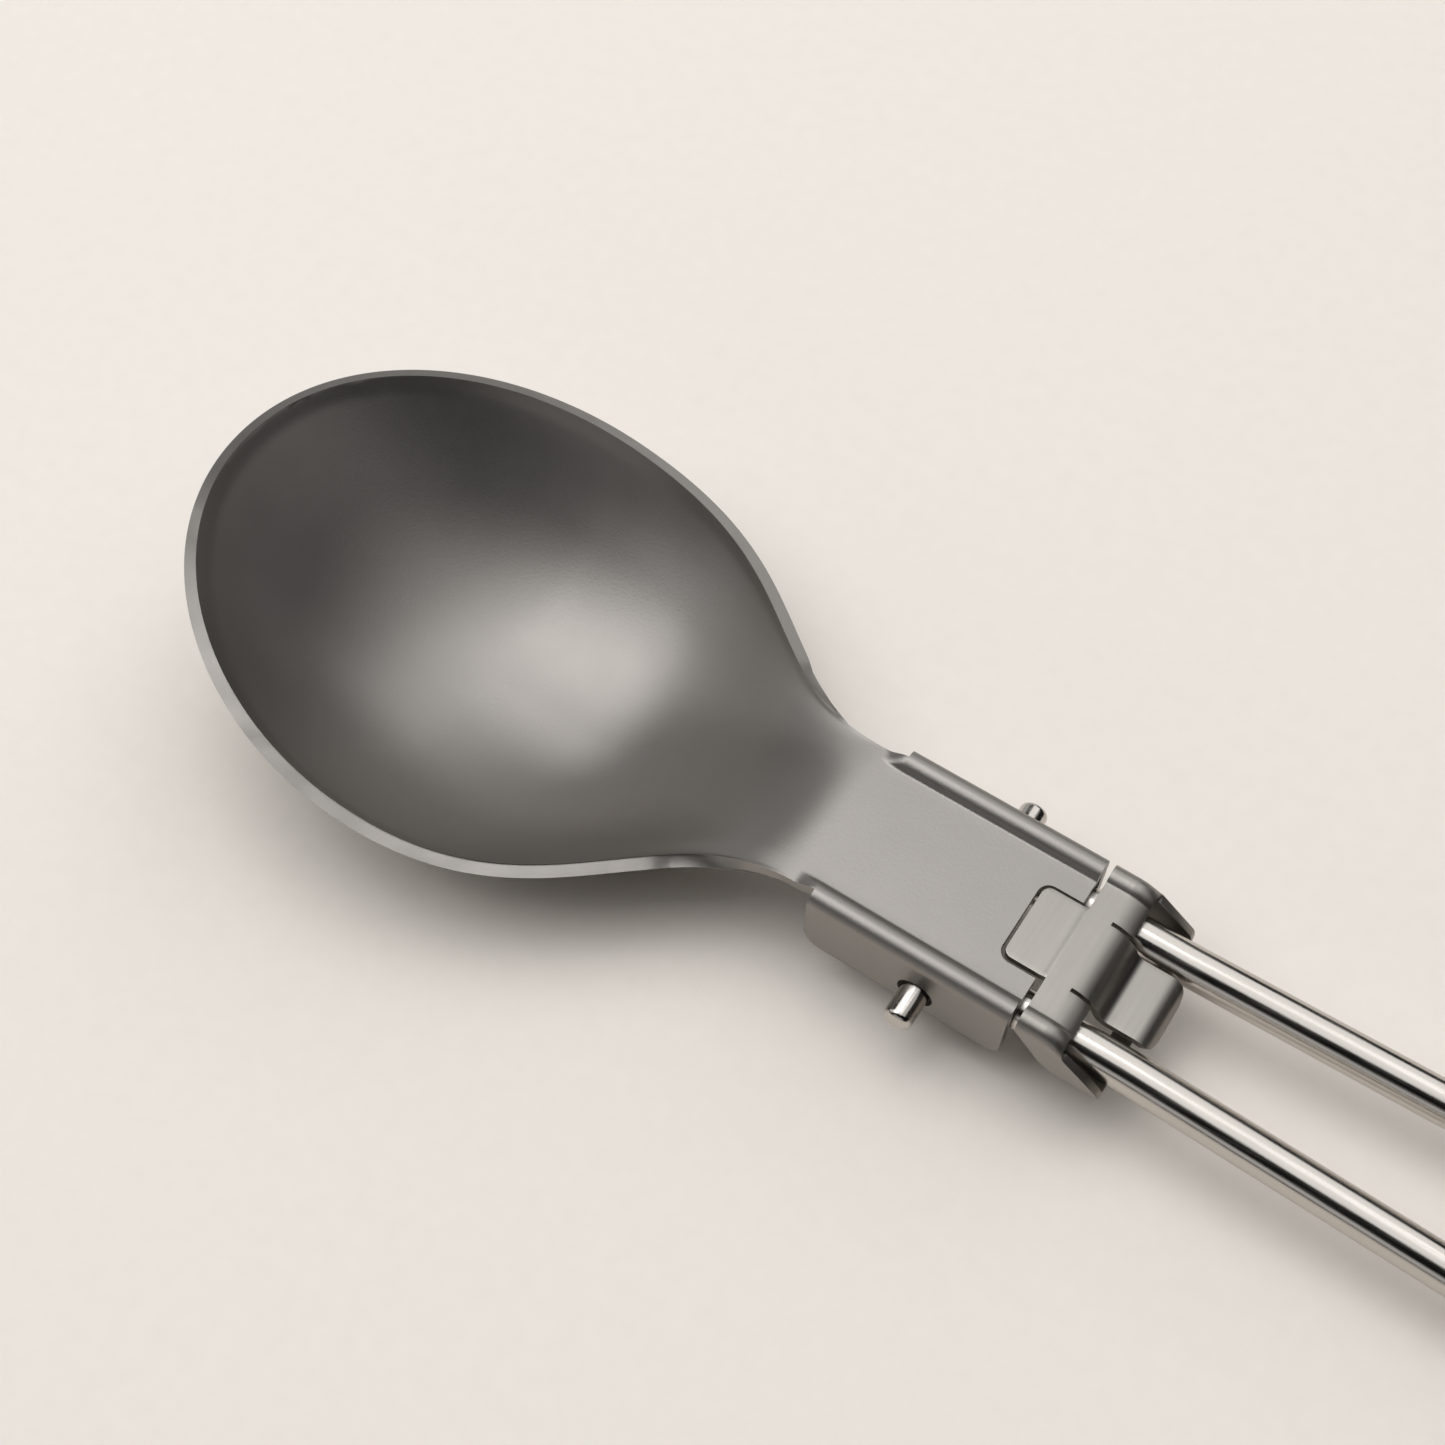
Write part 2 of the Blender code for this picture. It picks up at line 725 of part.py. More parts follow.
spoon = collection("folding_spoon")
cutters = collection("cutters")
blasted = material("blasted_titanium", (0.36, 0.345, 0.325), 0.42)
pressed = material("brushed_titanium", (0.42, 0.405, 0.385), 0.34)
drawn = material("polished_titanium_wire", (0.52, 0.505, 0.485), 0.16)

frame = bpy.data.objects.new("spoon_frame", None)
spoon.objects.link(frame)
head = build_head(spoon, cutters, blasted)
handle = build_handle(spoon, drawn)
sleeve = build_sleeve(spoon, cutters, pressed)
settle(frame, head, handle)
head.parent = frame
handle.parent = frame
sleeve.parent = handle
for guide in cutters.objects:
    guide.parent = frame
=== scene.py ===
import json
import math

import bmesh
import bpy
from mathutils import Matrix, Vector


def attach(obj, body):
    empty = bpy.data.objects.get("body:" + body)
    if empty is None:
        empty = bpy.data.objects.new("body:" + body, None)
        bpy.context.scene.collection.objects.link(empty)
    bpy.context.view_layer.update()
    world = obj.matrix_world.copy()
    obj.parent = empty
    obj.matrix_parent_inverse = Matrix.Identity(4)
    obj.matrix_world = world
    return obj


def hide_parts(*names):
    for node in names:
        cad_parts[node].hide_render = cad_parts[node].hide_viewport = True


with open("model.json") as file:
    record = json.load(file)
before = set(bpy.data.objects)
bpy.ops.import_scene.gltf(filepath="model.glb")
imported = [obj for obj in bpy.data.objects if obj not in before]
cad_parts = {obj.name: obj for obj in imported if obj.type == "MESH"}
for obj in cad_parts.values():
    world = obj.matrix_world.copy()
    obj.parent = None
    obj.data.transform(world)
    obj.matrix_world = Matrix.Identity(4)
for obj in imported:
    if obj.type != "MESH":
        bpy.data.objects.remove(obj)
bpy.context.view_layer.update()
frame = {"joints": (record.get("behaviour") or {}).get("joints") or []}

# The spoon's own frame
# The pieces are drawn in millimetres in the frame that the fold and slide joints give:
# X along the rods, Y along the hinge pins, Z up out of the neck plate, with the middle of
# the pivot as origin. SPOON takes them to their place in metres.
MM = 0.001
joints = {joint["name"]: joint for joint in frame["joints"]}
along = Vector(joints["lock_slide"]["axis"]).normalized()
across = Vector(joints["fold"]["axis"]).normalized()
turned = Matrix((along, across, along.cross(across))).transposed().to_4x4()
PIVOT = Matrix.Translation(joints["fold"]["pos_m"]) @ turned
SPOON = PIVOT @ Matrix.Scale(MM, 4)


# Camera
# A long lens looks down on the spoon from the side of the near flange, as in the
# photograph. The aim is a point on the level of the neck plate, and the camera leans a
# little to one side.
CAMERA_AZIMUTH = -57.4
CAMERA_ELEVATION = 59.05
CAMERA_ROLL = 1.13
CAMERA_DISTANCE = 143.4
CAMERA_AIM = (-21.3, 1.55, 3.5)
SENSOR_WIDTH = 36.0
LENS = 50.67


def placed_by_angles(azimuth, elevation, distance, aim, roll=0.0):
    """The place and turn of a camera or lamp that faces an aim from a distance, in mm."""
    side, height = math.radians(azimuth), math.radians(elevation)
    flat = math.cos(height)
    back = Vector((flat * math.cos(side), flat * math.sin(side), math.sin(height)))
    turn = back.to_track_quat("Z", "Y").to_matrix().to_4x4()
    roll_turn = Matrix.Rotation(math.radians(roll), 4, "Z")
    spot = (Vector(aim) + back * distance) * MM
    return PIVOT @ Matrix.Translation(spot) @ turn @ roll_turn


camera_data = bpy.data.cameras.new("camera")
camera_data.sensor_width = SENSOR_WIDTH
camera_data.lens = LENS
camera_data.clip_start = MM
camera = bpy.data.objects.new("camera", camera_data)
camera.matrix_world = placed_by_angles(
    CAMERA_AZIMUTH, CAMERA_ELEVATION, CAMERA_DISTANCE, CAMERA_AIM, CAMERA_ROLL
)
bpy.context.scene.collection.objects.link(camera)
bpy.context.scene.camera = camera
bpy.context.scene.view_settings.view_transform = "Standard"


# Studio
# A matt table of warm off-white in a dark room, under soft rectangular lamps. The bowl and
# the neck mirror mainly the two softboxes and the panel overhead. The other panels, which
# stand round the table, fill the shadows and give the rods and flanges their sheen.
def colour(code):
    """An sRGB hex colour as linear red, green, blue and alpha."""
    shares = [int(code[place : place + 2], 16) / 255 for place in (1, 3, 5)]
    linear = [s / 12.92 if s <= 0.04045 else ((s + 0.055) / 1.055) ** 2.4 for s in shares]
    return (*linear, 1.0)


def add_node(tree, kind, inputs=None, **settings):
    """A new node with its settings, and with inputs that are values or other sockets."""
    node = tree.nodes.new(kind)
    for name, value in settings.items():
        setattr(node, name, value)
    for name, value in (inputs or {}).items():
        if isinstance(value, bpy.types.NodeSocket):
            tree.links.new(value, node.inputs[name])
        else:
            node.inputs[name].default_value = value
    return node


def new_material(name, base, metallic, roughness):
    """A material with a plain shader. Returns it with its node tree and its shader."""
    made = bpy.data.materials.new(name)
    made.use_nodes = True
    shader = made.node_tree.nodes["Principled BSDF"]
    shader.inputs["Base Color"].default_value = colour(base)
    shader.inputs["Metallic"].default_value = metallic
    shader.inputs["Roughness"].default_value = roughness
    return made, made.node_tree, shader


TABLE_SIZE = 6000.0
TABLE_GRAIN = 1.7
TABLE_DARK = "#F8F1E9"
TABLE_LIGHT = "#FDF6EE"
TABLE_ROUGHNESS = 0.9
TABLE_GLOSS = 0.1
ROOM_COLOUR = "#000000"
LAMP_DISTANCE = 700.0
LAMP_AIM = (-20.0, 0.0, 0.0)

table_finish, tree, shader = new_material("matt_table", TABLE_LIGHT, 0.0, TABLE_ROUGHNESS)
shader.inputs["Specular IOR Level"].default_value = TABLE_GLOSS
place = add_node(tree, "ShaderNodeTexCoord").outputs["Object"]
grain = add_node(
    tree, "ShaderNodeTexNoise", {"Vector": place, "Scale": 1 / (TABLE_GRAIN * MM), "Detail": 4.0}
)
tone = add_node(tree, "ShaderNodeMix", {"Factor": grain.outputs["Fac"]}, data_type="RGBA")
tone.inputs["A"].default_value = colour(TABLE_DARK)
tone.inputs["B"].default_value = colour(TABLE_LIGHT)
tree.links.new(tone.outputs["Result"], shader.inputs["Base Color"])

shape = bmesh.new()
bmesh.ops.create_grid(shape, x_segments=1, y_segments=1, size=TABLE_SIZE / 2 * MM)
table_mesh = bpy.data.meshes.new("table")
shape.to_mesh(table_mesh)
shape.free()
table = bpy.data.objects.new("table", table_mesh)
table_mesh.materials.append(table_finish)
bpy.context.scene.collection.objects.link(table)

room = bpy.data.worlds.new("room")
bpy.context.scene.world = room
room.use_nodes = True
background = room.node_tree.nodes["Background"]
background.inputs["Color"].default_value = colour(ROOM_COLOUR)


def softbox(name, azimuth, elevation, size, radiance):
    """A rectangular lamp that faces the spoon. Its strength is given as radiance."""
    lamp = bpy.data.lights.new(name, "AREA")
    lamp.shape = "RECTANGLE"
    lamp.size = size[0] * MM
    lamp.size_y = size[1] * MM
    lamp.energy = radiance * math.pi * lamp.size * lamp.size_y
    holder = bpy.data.objects.new(name, lamp)
    holder.matrix_world = placed_by_angles(azimuth, elevation, LAMP_DISTANCE, LAMP_AIM)
    bpy.context.scene.collection.objects.link(holder)


softbox("key_softbox", 157.0, 66.0, (450.0, 500.0), 2.0)
softbox("left_softbox", 214.0, 55.0, (320.0, 350.0), 2.3)
softbox("overhead_panel", 180.0, 88.0, (600.0, 520.0), 1.25)
softbox("far_panel", 88.0, 45.0, (480.0, 520.0), 1.3)
softbox("left_low_panel", 200.0, 30.0, (500.0, 520.0), 0.75)
softbox("far_low_panel", 126.0, 14.0, (900.0, 350.0), 0.55)
softbox("near_low_panel", 274.0, 16.0, (720.0, 230.0), 0.6)
softbox("rear_panel", 30.0, 60.0, (570.0, 420.0), 0.7)


# Head
# One sheet of titanium, 0.9 mm thick, pressed into the bowl and a flat neck plate. Its
# sides run up into a rounded shoulder and turn down as flanges, which carry the pins of
# the handle. The bowl is bead blasted, so it mirrors the room only as a soft sheen.
HEAD_SHEET = 0.9
BOWL_LENGTH = 51.9
BOWL_WIDTH = 36.9
TIP_TO_WIDEST = 21.8
TIP_TO_FLOOR = 28.0
FLOOR_RISE = 9.0
BOWL_DEPTH = 10.0
TIP_RISE = 5.0
RIM_DIP = 2.0
NECK_TO_FLANGE = 1.7
FLANGE_FRONT = 8.8
PLATE_REAR = 6.6
PLATE_TOP = 3.5
CHANNEL_WIDTH = 14.3
FLANGE_DROP = 5.4
FLANGE_FRONT_ROUND = 1.6
FLANGE_REAR_ROUND = 1.0
SHOULDER_RISE = 0.65
SHOULDER_RADIUS = 1.0
SHOULDER_ANGLE = 60.0
PIN_HOLE = 2.7
HOLE_SEGMENTS = 64
NOTCH_LENGTH = 3.0
NOTCH_WIDTH = 6.6
NOTCH_ROUND = 0.9
NOTCH_SEGMENTS = 8
EDGE_ROUND = 0.26
EDGE_SEGMENTS = 3
EDGE_ANGLE = 50.0
SHARP_ANGLE = 32.0

# How full the bowl's outline is on either side of its widest place, as shares, and the
# powers of the curves that its rim and its wall follow
TIP_BLUNT_SHARE = 0.57
TIP_FULL_SHARE = 0.53
REAR_FULL_SHARE = 0.56
NECK_FILLET_SHARE = 0.38
RISE_POWER = 2.7
DIP_POWER = 0.75
WALL_POWER = 2.4
CLIMB_POWER = 1.3

# The fine line pressed inside the rim: its depth, the shares of the way out between which
# it deepens, the share over which it closes at the rim, and the length over which it fades
# toward the neck
GROOVE_DEPTH = 0.16
GROOVE_START_SHARE = 0.7
GROOVE_DEEPEST_SHARE = 0.96
GROOVE_CLOSE_SHARE = 0.045
GROOVE_FADE = 8.0

# How far the rim's edge is turned level, the steepness of the wall at which that starts and
# is full, and how far from the neck it is left out
LEVEL_SHARE = 0.75
LEVEL_START_SHARE = 0.3
LEVEL_FULL_SHARE = 0.7
LEVEL_FROM_NECK = 1.0

HALF_CHANNEL = CHANNEL_WIDTH / 2
CREST_Y = HALF_CHANNEL - SHOULDER_RADIUS
NECK_X = -FLANGE_FRONT - NECK_TO_FLANGE
TIP_X = NECK_X - BOWL_LENGTH
WIDEST_X = TIP_X + TIP_TO_WIDEST
FLOOR_X = TIP_X + TIP_TO_FLOOR
NEAR = EDGE_ROUND / 10
BOWL_RINGS = 48
RING_POWER = 1.6
SEAM_SHARE = 0.02
RIM_STEPS = 48
PLATE_STEPS = 8
NECK_STEPS = 8
CHANNEL_STEPS = 48
FLANGE_STEPS = 8
ARC_STEP = 7.5


def blend(share):
    """A smooth step from 0 to 1."""
    share = min(max(share, 0.0), 1.0)
    return share * share * (3 - 2 * share)


def bezier(points, share):
    """A point of a cubic curve."""
    a, b, c, d = (Vector(point) for point in points)
    rest = 1 - share
    return a * rest**3 + b * 3 * share * rest**2 + c * 3 * share**2 * rest + d * share**3


def trace(start, heading, moves):
    """Points of a flat path of ("line", length) and ("arc", radius, degrees to the left)."""
    x, y = start
    angle = math.radians(heading)
    points = [(x, y)]
    for move in moves:
        if move[0] == "line":
            x += move[1] * math.cos(angle)
            y += move[1] * math.sin(angle)
            points.append((x, y))
            continue
        radius, degrees = move[1], move[2]
        steps = max(2, round(abs(degrees) / ARC_STEP))
        turn = math.radians(degrees) / steps
        chord = 2 * radius * math.sin(abs(turn) / 2)
        for _ in range(steps):
            x += chord * math.cos(angle + turn / 2)
            y += chord * math.sin(angle + turn / 2)
            angle += turn
            points.append((x, y))
    return points


def rim_height(x):
    """Height of the bowl's rim: it dips behind the neck and rises to the tip."""
    share = min(max((NECK_X - x) / BOWL_LENGTH, 0.0), 1.0)
    dip = math.sin(math.pi * share**DIP_POWER) ** 2
    return PLATE_TOP + TIP_RISE * share**RISE_POWER - RIM_DIP * dip


def half_rim():
    """The rim's outline on the +Y side, from the neck to the tip, without its first point."""
    half = BOWL_WIDTH / 2
    behind = NECK_X - WIDEST_X
    rear = [
        (NECK_X, CREST_Y),
        (NECK_X - behind * NECK_FILLET_SHARE, CREST_Y),
        (WIDEST_X + behind * REAR_FULL_SHARE, half),
        (WIDEST_X, half),
    ]
    front = [
        (WIDEST_X, half),
        (WIDEST_X - TIP_TO_WIDEST * TIP_FULL_SHARE, half),
        (TIP_X, half * TIP_BLUNT_SHARE),
        (TIP_X, 0),
    ]
    points = [bezier(rear, step / RIM_STEPS) for step in range(1, RIM_STEPS + 1)]
    points += [bezier(front, step / RIM_STEPS) for step in range(1, RIM_STEPS + 1)]
    return points


rear_rim = [Vector((NECK_X, CREST_Y))] + half_rim()[:RIM_STEPS]


def half_width(x):
    """Half the bowl's width at a place behind its widest."""
    for ahead, behind in zip(rear_rim[1:], rear_rim):
        if x >= ahead.x:
            share = (x - ahead.x) / (behind.x - ahead.x)
            return ahead.lerp(behind, share).y
    return BOWL_WIDTH / 2


def floor_height(x):
    """Height of the bowl's floor along its middle: lowest a little nearer the neck."""
    if x < FLOOR_X:
        climb = FLOOR_RISE * ((FLOOR_X - x) / (FLOOR_X - TIP_X)) ** 2
    else:
        share = min((x - FLOOR_X) / (NECK_X - FLOOR_X), 1.0)
        climb = BOWL_DEPTH * blend(share**CLIMB_POWER)
    return PLATE_TOP - BOWL_DEPTH + climb


def bowl_height(spot, share):
    """Height of the bowl at a spot that lies this share of the way out to its border."""
    if spot.x > WIDEST_X:
        share = min(abs(spot.y) / half_width(spot.x), 1.0)
    lowest = floor_height(spot.x)
    height = lowest + (rim_height(spot.x) - lowest) * share**WALL_POWER
    groove = blend((share - GROOVE_START_SHARE) / (GROOVE_DEEPEST_SHARE - GROOVE_START_SHARE))
    groove *= blend((1 - share) / GROOVE_CLOSE_SHARE) * blend((NECK_X - spot.x) / GROOVE_FADE)
    return height - GROOVE_DEPTH * groove


def neck_section():
    """Half of the neck's section as (y, rise), from the middle to the crest."""
    rise_share = 1 - math.cos(math.radians(SHOULDER_ANGLE))
    foot_radius = SHOULDER_RISE / rise_share - SHOULDER_RADIUS
    run = (foot_radius + SHOULDER_RADIUS) * math.sin(math.radians(SHOULDER_ANGLE))
    crease = CREST_Y - run
    up = [("arc", foot_radius, SHOULDER_ANGLE), ("arc", SHOULDER_RADIUS, -SHOULDER_ANGLE)]
    flat = [(crease * step / PLATE_STEPS, 0.0) for step in range(PLATE_STEPS)]
    return flat + trace((crease, 0.0), 0.0, up)


def flange_foot(x):
    """Height of the flange's lower edge, with both lower corners rounded."""
    drop = FLANGE_DROP
    front = (x + FLANGE_FRONT, FLANGE_FRONT_ROUND)
    rear = (PLATE_REAR - x, FLANGE_REAR_ROUND)
    for edge, radius in (front, rear):
        inset = radius - min(max(edge, 0.0), radius)
        drop -= radius - math.sqrt(radius**2 - inset**2)
    return PLATE_TOP - drop


def eased(low, high, steps):
    """Places from low to high, close together at both ends."""
    turns = [0.5 - 0.5 * math.cos(math.pi * step / steps) for step in range(steps + 1)]
    return [low + (high - low) * turn for turn in turns]


def drawn_out(shape, edges):
    """Extrudes border edges once. Returns the new points and the new border edges."""
    made = bmesh.ops.extrude_edge_only(shape, edges=edges)["geom"]
    points = [item for item in made if isinstance(item, bmesh.types.BMVert)]
    far = set(points)
    border = [
        item for item in made if isinstance(item, bmesh.types.BMEdge) and set(item.verts) <= far
    ]
    return points, border


def head_sheet():
    """The upper surface of the head: a spun disc shaped into the bowl, and drawn out."""
    section = neck_section()
    side = half_rim()
    neck = [Vector((NECK_X, y)) for y, _ in section]
    border = neck + side
    border += [Vector((spot.x, -spot.y)) for spot in border[-2:0:-1]]
    spokes = len(border)

    shape = bmesh.new()
    rings = [1 - (1 - ring / BOWL_RINGS) ** RING_POWER for ring in range(BOWL_RINGS + 1)]
    chain = [shape.verts.new((share, 0, 0)) for share in rings]
    links = [shape.edges.new(pair) for pair in zip(chain, chain[1:])]
    bmesh.ops.spin(
        shape, geom=chain + links, cent=(0, 0, 0), axis=(0, 0, 1),
        angle=math.tau, steps=spokes, use_merge=True, use_duplicate=False,
    )
    bmesh.ops.remove_doubles(shape, verts=shape.verts, dist=SEAM_SHARE / BOWL_RINGS / spokes)
    middle = Vector((WIDEST_X, 0))
    for vert in shape.verts:
        share = vert.co.length
        spoke = round(math.atan2(vert.co.y, vert.co.x) / math.tau * spokes) % spokes
        spot = middle.lerp(border[spoke], share)
        vert.co = (*spot, bowl_height(spot, share))

    edges = [
        edge for edge in shape.edges
        if edge.is_boundary and all(abs(vert.co.x - NECK_X) < NEAR for vert in edge.verts)
    ]
    rises = {round(y, 4): rise for y, rise in section}
    stations = [NECK_X + NECK_TO_FLANGE * step / NECK_STEPS for step in range(1, NECK_STEPS)]
    stations += eased(-FLANGE_FRONT, PLATE_REAR, CHANNEL_STEPS)
    for x in stations:
        points, edges = drawn_out(shape, edges)
        share = blend((x - NECK_X) / NECK_TO_FLANGE)
        for vert in points:
            rise = rises[min(rises, key=lambda y: abs(y - abs(vert.co.y)))]
            vert.co.x = x
            vert.co.z = PLATE_TOP + rise * share

    crest = PLATE_TOP + SHOULDER_RISE
    for sign in (1, -1):
        edges = [
            edge for edge in shape.edges
            if edge.is_boundary and all(
                abs(vert.co.y * sign - CREST_Y) < NEAR
                and vert.co.x > -FLANGE_FRONT - NEAR for vert in edge.verts
            )
        ]
        hub = Vector((0, sign * CREST_Y, crest - SHOULDER_RADIUS))
        step_turn = Matrix.Rotation(math.radians(-sign * ARC_STEP), 3, "X")
        for _ in range(round(90 / ARC_STEP)):
            points, edges = drawn_out(shape, edges)
            bmesh.ops.rotate(shape, verts=points, cent=hub, matrix=step_turn)
        top = crest - SHOULDER_RADIUS
        for step in range(1, FLANGE_STEPS + 1):
            points, edges = drawn_out(shape, edges)
            for vert in points:
                vert.co.z = top + (flange_foot(vert.co.x) - top) * step / FLANGE_STEPS
    bmesh.ops.recalc_face_normals(shape, faces=shape.faces)
    if sum(face.normal.z * face.calc_area() for face in shape.faces) < 0:
        bmesh.ops.reverse_faces(shape, faces=shape.faces)
    return shape


def new_object(name, shape):
    """An object from an edited shape."""
    mesh = bpy.data.meshes.new(name)
    shape.to_mesh(mesh)
    shape.free()
    made = bpy.data.objects.new(name, mesh)
    bpy.context.scene.collection.objects.link(made)
    return made


def thicken(piece, thickness, level=()):
    """Give a sheet its thickness, inward, and round its edges.

    At the border points in level, each given with the point inside it, the edge is turned
    toward level.
    """
    solid = piece.modifiers.new("sheet", "SOLIDIFY")
    solid.thickness = thickness
    solid.offset = -1.0
    solid.use_even_offset = True
    if level:
        count = len(piece.data.vertices)
        graph = bpy.context.evaluated_depsgraph_get()
        piece.data = bpy.data.meshes.new_from_object(piece.evaluated_get(graph))
        piece.modifiers.clear()
        points = piece.data.vertices
        for border, inside in level:
            middle = (points[border].co.z + points[border + count].co.z) / 2
            for end, start in ((border, inside), (border + count, inside + count)):
                wall = (points[end].co - points[start].co).normalized()
                steep = (wall.z - LEVEL_START_SHARE) / (LEVEL_FULL_SHARE - LEVEL_START_SHARE)
                part = LEVEL_SHARE * blend(steep)
                if part > 0:
                    points[end].co += wall * part * (middle - points[end].co.z) / wall.z
    rounding = piece.modifiers.new("edges", "BEVEL")
    rounding.width = EDGE_ROUND
    rounding.segments = EDGE_SEGMENTS
    rounding.limit_method = "ANGLE"
    rounding.angle_limit = math.radians(EDGE_ANGLE)


def rim_points(mesh):
    """The points of the bowl's rim, each with the next point inside it."""
    shape = bmesh.new()
    shape.from_mesh(mesh)
    pairs = []
    for vert in shape.verts:
        if vert.is_boundary and vert.co.x < NECK_X - LEVEL_FROM_NECK:
            inward = next(edge for edge in vert.link_edges if not edge.is_boundary)
            pairs.append((vert.index, inward.other_vert(vert).index))
    shape.free()
    return pairs


def cut_with(piece, shape, name):
    """Cut a piece with an edited shape."""
    tool = new_object(name, shape)
    step = piece.modifiers.new(name, "BOOLEAN")
    step.operation = "DIFFERENCE"
    step.object = tool
    return tool


def settle(piece, body, node, finish, tools=()):
    """Bake a piece's modifiers, bring it to its place and let it stand for its node."""
    graph = bpy.context.evaluated_depsgraph_get()
    mesh = bpy.data.meshes.new_from_object(piece.evaluated_get(graph))
    for tool in tools:
        bpy.data.objects.remove(tool)
    piece.modifiers.clear()
    mesh.transform(SPOON)
    mesh.shade_smooth()
    mesh.set_sharp_from_angle(angle=math.radians(SHARP_ANGLE))
    mesh.materials.clear()
    mesh.materials.append(finish)
    if piece.type == "MESH":
        piece.data = mesh
    else:
        name = piece.name
        bpy.data.objects.remove(piece)
        piece = bpy.data.objects.new(name, mesh)
        bpy.context.scene.collection.objects.link(piece)
    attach(piece, body)
    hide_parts(node)


# Bead-blasted titanium: the blasting leaves fine pits, so it is matt and mid grey, with
# a faint cloudiness where hands and food have rubbed it. Real pits are too fine to show,
# so they are drawn wider.
BLASTED_COLOUR = "#918D89"
BLASTED_ROUGHNESS = 0.42
CLOUD_ROUGHNESS = 0.01
CLOUD_SIZE = 3.8
PIT_SIZE = 0.19
PIT_DEPTH = 0.03
PIT_STRENGTH = 0.25
NOISE_SPAN = {"From Min": 0.3, "From Max": 0.7}

blasted, tree, shader = new_material("blasted_titanium", BLASTED_COLOUR, 1.0, BLASTED_ROUGHNESS)
place = add_node(tree, "ShaderNodeTexCoord").outputs["Object"]
grit = add_node(
    tree, "ShaderNodeTexNoise", {"Vector": place, "Scale": 1 / (PIT_SIZE * MM), "Detail": 3.0}
)
cloud = add_node(
    tree, "ShaderNodeTexNoise", {"Vector": place, "Scale": 1 / (CLOUD_SIZE * MM), "Detail": 5.0}
)
rough = add_node(tree, "ShaderNodeMapRange", {
    **NOISE_SPAN, "Value": cloud.outputs["Fac"],
    "To Min": BLASTED_ROUGHNESS - CLOUD_ROUGHNESS, "To Max": BLASTED_ROUGHNESS + CLOUD_ROUGHNESS,
})
tree.links.new(rough.outputs["Result"], shader.inputs["Roughness"])
pits = add_node(tree, "ShaderNodeBump", {
    "Height": grit.outputs["Fac"], "Strength": PIT_STRENGTH, "Distance": PIT_DEPTH * MM,
})
tree.links.new(pits.outputs["Normal"], shader.inputs["Normal"])

head = new_object("spoon_head_sheet", head_sheet())
thicken(head, HEAD_SHEET, rim_points(head.data))
drill = bmesh.new()
bmesh.ops.create_cone(
    drill, cap_ends=True, segments=HOLE_SEGMENTS, radius1=PIN_HOLE / 2, radius2=PIN_HOLE / 2,
    depth=CHANNEL_WIDTH * 2, matrix=Matrix.Rotation(math.pi / 2, 4, "X"),
)
drill = cut_with(head, drill, "pin_drill")
punch = bmesh.new()
bmesh.ops.create_cube(punch, size=1.0)
bmesh.ops.scale(punch, verts=punch.verts, vec=(NOTCH_LENGTH * 2, NOTCH_WIDTH, HEAD_SHEET * 6))
bmesh.ops.translate(punch, verts=punch.verts, vec=(PLATE_REAR, 0, PLATE_TOP))
corners = [
    edge for edge in punch.edges
    if all(vert.co.x < PLATE_REAR for vert in edge.verts)
    and edge.verts[0].co.y == edge.verts[1].co.y
]
bmesh.ops.bevel(
    punch, geom=corners, offset=NOTCH_ROUND, offset_type="OFFSET", segments=NOTCH_SEGMENTS,
    profile=0.5, affect="EDGES", material=-1,
)
punch = cut_with(head, punch, "notch_punch")
settle(head, "head", "spoon_head", blasted, (drill, punch))


# Handle
# One titanium wire, 3 mm thick, bent into a long loop. Its two ends are turned outward
# and thinned to the pins that sit in the flanges. The wire is drawn and polished, with
# fine drawing lines along it.
WIRE_DIAMETER = 3.0
PIN_DIAMETER = 2.1
PIN_REACH = 2.6
PIN_DOME = 0.5
HANDLE_LENGTH = 104.0
WIRE_BEND = 1.6
FLARE_ANGLE = 1.4
FLARE_RADIUS = 40.0
WIRE_GAP = 0.3
ROD_GAP = 0.2
FLARE_START = 13.84
WIRE_RESOLUTION = 10
DOME_STEPS = 8
TAPER_STEPS = 4
RISE_STEPS = 12
LOOP_STEP = 3.0

ROD_HEIGHT = PLATE_TOP - HEAD_SHEET - ROD_GAP - WIRE_DIAMETER / 2
ROD_OFFSET = HALF_CHANNEL - HEAD_SHEET - ROD_GAP - WIRE_DIAMETER / 2


